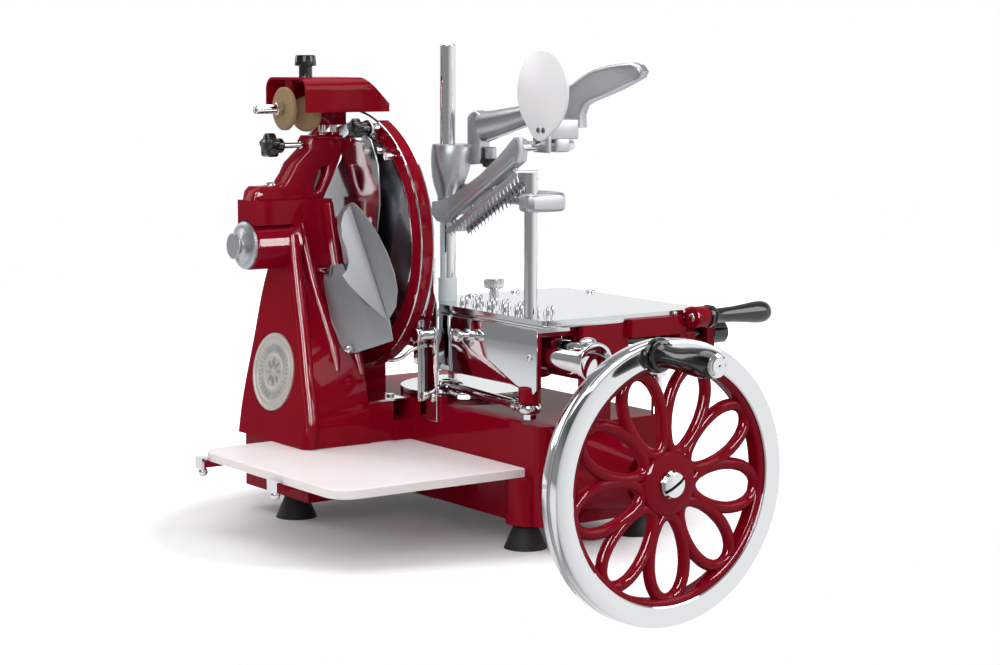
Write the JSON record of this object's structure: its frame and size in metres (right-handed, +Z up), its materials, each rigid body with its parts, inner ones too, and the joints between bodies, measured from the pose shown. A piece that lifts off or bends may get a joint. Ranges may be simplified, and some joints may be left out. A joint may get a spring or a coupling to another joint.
{
  "type": "hand crank meat slicer",
  "caption": "Hand-cranked meat slicer: a flywheel turns a dished blade and, by a crank and rod, slides the carriage with its meat table, clamp and press past it.",
  "frame": {"origin": "centre of the sole of the front left foot, on the counter plane", "axes": "+Z up, +Y from the operator and flywheel to the rear, +X to the right, from the blade column to the meat table; the blade turns about X and the carriage slides along Y"},
  "size_m": [0.615, 0.82, 0.657],
  "materials": {
    "red_enamel": "deep crimson gloss enamel on cast iron",
    "chrome": "polished nickel and chrome plate",
    "bright_steel": "ground and polished steel",
    "blade_steel": "turned and ground blade steel",
    "aluminium": "tumbled aluminium casting",
    "satin_steel": "satin stainless sheet",
    "machine_steel": "plain machined steel",
    "bronze": "plain bearing bronze",
    "black_plastic": "black phenolic, moulded gloss",
    "white_board": "white cutting board plastic",
    "white_plastic": "white moulded plastic",
    "rubber": "dark rubber feet",
    "stone": "bonded grinding stone, matt"
  },
  "bodies": {
    "frame": {"frame_casting": "red_enamel", "base_cover": "machine_steel", "frame_fasteners": "chrome", "rubber_feet": "rubber", "bearing_bushes": "bronze", "blade_guard_ring": "aluminium", "guard_bracket": "aluminium", "guard_link": "satin_steel", "slice_deflector": "satin_steel", "blade_shaft_cap": "aluminium", "sharpener_bracket": "red_enamel", "sharpener_rods": "chrome", "guide_rod": "chrome", "support_rail": "chrome", "board": "white_board", "board_bars": "red_enamel", "board_clips": "chrome", "shelf_plate": "bright_steel", "badge": "bright_steel"},
    "flywheel": {"flywheel_rim": "chrome", "flywheel_spider": "red_enamel", "flywheel_shaft": "machine_steel", "hub_screw": "chrome", "grip_spindle": "chrome", "flywheel_gears": "machine_steel"},
    "grip": {"wheel_grip": "black_plastic"},
    "layshaft": {"layshaft": "machine_steel"},
    "crank": {"crank_disc": "bright_steel"},
    "cross_shaft": {"cross_shaft": "machine_steel"},
    "column_shaft": {"column_shaft": "machine_steel"},
    "blade": {"blade": "blade_steel", "blade_shaft": "machine_steel"},
    "guard_knob": {"guard_knob": "black_plastic"},
    "lock_knob": {"lock_knob": "black_plastic"},
    "hood": {"sharpener_hood": "red_enamel"},
    "stone_a": {"sharpener_stone_a": "stone"},
    "stone_b": {"sharpener_stone_b": "stone"},
    "plunger": {"sharpener_plunger": "black_plastic"},
    "carriage": {"carriage_frame": "red_enamel", "carriage_plate": "bright_steel", "side_shield": "bright_steel", "shield_screws": "chrome", "link_bolt": "chrome"},
    "connecting_rod": {"connecting_rod": "chrome"},
    "roller": {"rail_roller": "machine_steel"},
    "feed_screw": {"feed_screw": "black_plastic"},
    "table": {"meat_table": "bright_steel", "glide_strips": "black_plastic", "table_posts": "chrome", "post_sleeve": "white_plastic", "feed_nut": "red_enamel"},
    "thumb_screw": {"thumb_screw": "chrome"},
    "feed_lever": {"feed_lever": "red_enamel"},
    "feed_grip": {"feed_grip": "black_plastic"},
    "clamp": {"clamp_hub": "aluminium", "clamp_guide": "aluminium"},
    "clamp_knob": {"clamp_knob": "black_plastic"},
    "press": {"press_bar": "aluminium", "clamp_lever": "aluminium", "oval_guard": "white_plastic"}
  },
  "joints": [
    {"name": "flywheel_spin", "type": "hinge", "parent": "frame", "child": "flywheel", "pos_m": [0.057, -0.19, 0.102], "axis": [0, 1, 0], "continuous": true},
    {"name": "grip_spin", "type": "hinge", "parent": "flywheel", "child": "grip", "pos_m": [0.03061, -0.25, 0.25169], "axis": [0, 1, 0], "continuous": true},
    {"name": "layshaft_spin", "type": "hinge", "parent": "frame", "child": "layshaft", "pos_m": [0.057, 0.3194, 0.13], "axis": [0, 0, 1], "continuous": true},
    {"name": "crank_spin", "type": "hinge", "parent": "frame", "child": "crank", "pos_m": [0.097, 0.256, 0.154], "axis": [0, 0, 1], "continuous": true},
    {"name": "cross_spin", "type": "hinge", "parent": "frame", "child": "cross_shaft", "pos_m": [-0.033, 0.344, 0.102], "axis": [1, 0, 0], "continuous": true},
    {"name": "column_spin", "type": "hinge", "parent": "frame", "child": "column_shaft", "pos_m": [-0.101, 0.344, 0.22], "axis": [0, 0, 1], "continuous": true},
    {"name": "blade_spin", "type": "hinge", "parent": "frame", "child": "blade", "pos_m": [-0.033, 0.344, 0.346], "axis": [1, 0, 0], "continuous": true},
    {"name": "guard_knob_turn", "type": "hinge", "parent": "frame", "child": "guard_knob", "pos_m": [-0.058, 0.274, 0.489], "axis": [1, 0, 0], "continuous": true},
    {"name": "lock_knob_turn", "type": "hinge", "parent": "frame", "child": "lock_knob", "pos_m": [-0.133, 0.344, 0.467], "axis": [1, 0, 0], "continuous": true},
    {"name": "hood_slide", "type": "slide", "parent": "frame", "child": "hood", "axis": [0, 0, 1], "range_m": [0, 0.035]},
    {"name": "stone_a_spin", "type": "hinge", "parent": "hood", "child": "stone_a", "pos_m": [-0.126, 0.344, 0.513], "axis": [1, 0, 0], "continuous": true},
    {"name": "stone_b_spin", "type": "hinge", "parent": "hood", "child": "stone_b", "pos_m": [-0.096, 0.343, 0.506], "axis": [0.8829, 0.4695, 0], "continuous": true},
    {"name": "plunger_push", "type": "slide", "parent": "hood", "child": "plunger", "axis": [0, 0, 1], "range_m": [-0.006, 0], "stiffness_N_per_m": 400, "springref_m": 0.003},
    {"name": "carriage_slide", "type": "slide", "parent": "frame", "child": "carriage", "axis": [0, 1, 0], "range_m": [-0.0215, 0.1545]},
    {"name": "link_swing", "type": "hinge", "parent": "carriage", "child": "connecting_rod", "pos_m": [0.005, 0, 0.167], "axis": [0, 0, -1], "range_deg": [-3.5, 44.5]},
    {"name": "roller_spin", "type": "hinge", "parent": "carriage", "child": "roller", "pos_m": [0.174, 0.11, 0.2201], "axis": [1, 0, 0], "range_deg": [-650, 100]},
    {"name": "feed_screw_turn", "type": "hinge", "parent": "carriage", "child": "feed_screw", "pos_m": [0.167, 0, 0.238], "axis": [1, 0, 0], "continuous": true},
    {"name": "table_slide", "type": "slide", "parent": "carriage", "child": "table", "axis": [1, 0, 0], "range_m": [-0.006, 0.13]},
    {"name": "thumb_screw_turn", "type": "hinge", "parent": "table", "child": "thumb_screw", "pos_m": [0.063, 0.155, 0.29], "axis": [0, 0, 1], "continuous": true},
    {"name": "feed_lever_tilt", "type": "hinge", "parent": "table", "child": "feed_lever", "pos_m": [0.215, -0.026, 0.243], "axis": [1, 0, 0], "range_deg": [0, 25]},
    {"name": "feed_grip_spin", "type": "hinge", "parent": "feed_lever", "child": "feed_grip", "pos_m": [0.287, -0.048, 0.266], "axis": [1, 0, 0], "continuous": true},
    {"name": "clamp_slide", "type": "slide", "parent": "table", "child": "clamp", "axis": [0, 0, 1], "range_m": [-0.066, 0.02]},
    {"name": "clamp_knob_turn", "type": "hinge", "parent": "clamp", "child": "clamp_knob", "pos_m": [0.072, 0.222, 0.452], "axis": [1, 0, 0], "continuous": true},
    {"name": "press_tilt", "type": "hinge", "parent": "clamp", "child": "press", "pos_m": [0.033, 0.188, 0.392], "axis": [1, 0, 0], "range_deg": [0, 10]}
  ],
  "couplings": [
    {"joint": "layshaft_spin", "follows": "flywheel_spin", "ratio": 1},
    {"joint": "crank_spin", "follows": "flywheel_spin", "ratio": -0.5},
    {"joint": "cross_spin", "follows": "flywheel_spin", "ratio": 2},
    {"joint": "column_spin", "follows": "flywheel_spin", "ratio": -2},
    {"joint": "blade_spin", "follows": "flywheel_spin", "ratio": 2.8571},
    {"joint": "roller_spin", "follows": "carriage_slide", "rad_per_m": -70.922}
  ]
}
